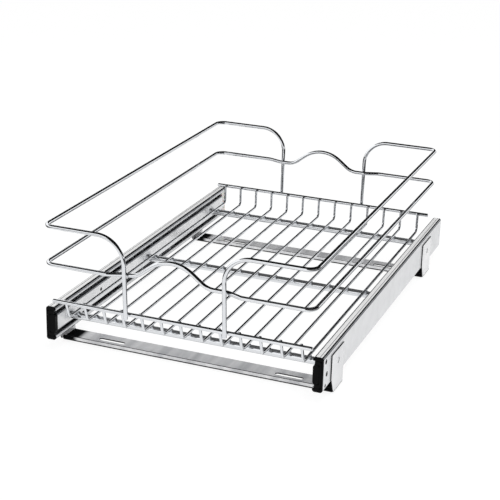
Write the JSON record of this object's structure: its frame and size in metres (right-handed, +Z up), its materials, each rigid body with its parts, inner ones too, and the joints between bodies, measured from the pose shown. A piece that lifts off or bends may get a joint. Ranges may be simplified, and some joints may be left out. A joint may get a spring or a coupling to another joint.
{
  "type": "pull-out cabinet basket",
  "caption": "Chrome wire basket for a cabinet floor, on full-extension ball-bearing slides carried by two slotted steel channels, with a raised grip front and rear.",
  "frame": {"origin": "middle of the footprint, on the cabinet floor, with the basket closed", "axes": "+X to the right, +Y to the back of the cabinet, +Z up; the basket pulls out along -Y"},
  "size_m": [0.365, 0.5594, 0.175],
  "materials": {
    "chrome": "bright chrome plate",
    "zinc": "satin zinc plate",
    "ball_steel": "polished steel",
    "retainer_steel": "greased steel",
    "black_plastic": "black, slightly glossy",
    "natural_plastic": "natural white, slightly glossy"
  },
  "bodies": {
    "cabinet_frame": {"front_channel": "chrome", "rear_channel": "chrome", "bracket_rivets": "zinc", "outer_member_left": "zinc", "outer_member_right": "zinc", "outer_bumper_left": "black_plastic", "outer_bumper_right": "black_plastic", "rear_stop_left": "natural_plastic", "rear_stop_right": "natural_plastic"},
    "basket": {"mid_rail": "chrome", "top_hoop_left": "chrome", "top_hoop_right": "chrome", "front_fence_wire": "chrome", "rear_fence_wire": "chrome", "front_cross_rod": "chrome", "middle_cross_rod": "chrome", "rear_cross_rod": "chrome", "floor_wire_1": "chrome", "floor_wire_2": "chrome", "floor_wire_3": "chrome", "floor_wire_4": "chrome", "floor_wire_5": "chrome", "floor_wire_6": "chrome", "floor_wire_7": "chrome", "floor_wire_8": "chrome", "floor_wire_9": "chrome", "floor_wire_10": "chrome", "floor_wire_11": "chrome", "floor_wire_12": "chrome", "floor_wire_13": "chrome", "front_rod_tab_left": "zinc", "front_rod_tab_right": "zinc", "middle_rod_tab_left": "zinc", "middle_rod_tab_right": "zinc", "rear_rod_tab_left": "zinc", "rear_rod_tab_right": "zinc", "tab_screws": "zinc", "inner_member_left": "zinc", "inner_member_right": "zinc", "inner_cap_left": "black_plastic", "inner_cap_right": "black_plastic"},
    "intermediate_left": {"intermediate_member_left": "zinc", "intermediate_bumper_left": "black_plastic"},
    "outer_bearing_left": {"outer_retainer_left": "retainer_steel", "outer_balls_left": "ball_steel"},
    "inner_bearing_left": {"inner_retainer_left": "retainer_steel", "inner_balls_left": "ball_steel"},
    "intermediate_right": {"intermediate_member_right": "zinc", "intermediate_bumper_right": "black_plastic"},
    "outer_bearing_right": {"outer_retainer_right": "retainer_steel", "outer_balls_right": "ball_steel"},
    "inner_bearing_right": {"inner_retainer_right": "retainer_steel", "inner_balls_right": "ball_steel"}
  },
  "joints": [
    {"name": "basket_slide", "type": "slide", "parent": "cabinet_frame", "child": "basket", "axis": [0, -1, 0], "range_m": [0, 0.532]},
    {"name": "intermediate_left_slide", "type": "slide", "parent": "cabinet_frame", "child": "intermediate_left", "axis": [0, -1, 0], "range_m": [0, 0.266]},
    {"name": "outer_bearing_left_slide", "type": "slide", "parent": "cabinet_frame", "child": "outer_bearing_left", "axis": [0, -1, 0], "range_m": [0, 0.133]},
    {"name": "inner_bearing_left_slide", "type": "slide", "parent": "cabinet_frame", "child": "inner_bearing_left", "axis": [0, -1, 0], "range_m": [0, 0.399]},
    {"name": "intermediate_right_slide", "type": "slide", "parent": "cabinet_frame", "child": "intermediate_right", "axis": [0, -1, 0], "range_m": [0, 0.266]},
    {"name": "outer_bearing_right_slide", "type": "slide", "parent": "cabinet_frame", "child": "outer_bearing_right", "axis": [0, -1, 0], "range_m": [0, 0.133]},
    {"name": "inner_bearing_right_slide", "type": "slide", "parent": "cabinet_frame", "child": "inner_bearing_right", "axis": [0, -1, 0], "range_m": [0, 0.399]}
  ],
  "couplings": [
    {"joint": "intermediate_left_slide", "follows": "basket_slide", "ratio": 0.5},
    {"joint": "outer_bearing_left_slide", "follows": "basket_slide", "ratio": 0.25},
    {"joint": "inner_bearing_left_slide", "follows": "basket_slide", "ratio": 0.75},
    {"joint": "intermediate_right_slide", "follows": "basket_slide", "ratio": 0.5},
    {"joint": "outer_bearing_right_slide", "follows": "basket_slide", "ratio": 0.25},
    {"joint": "inner_bearing_right_slide", "follows": "basket_slide", "ratio": 0.75}
  ]
}
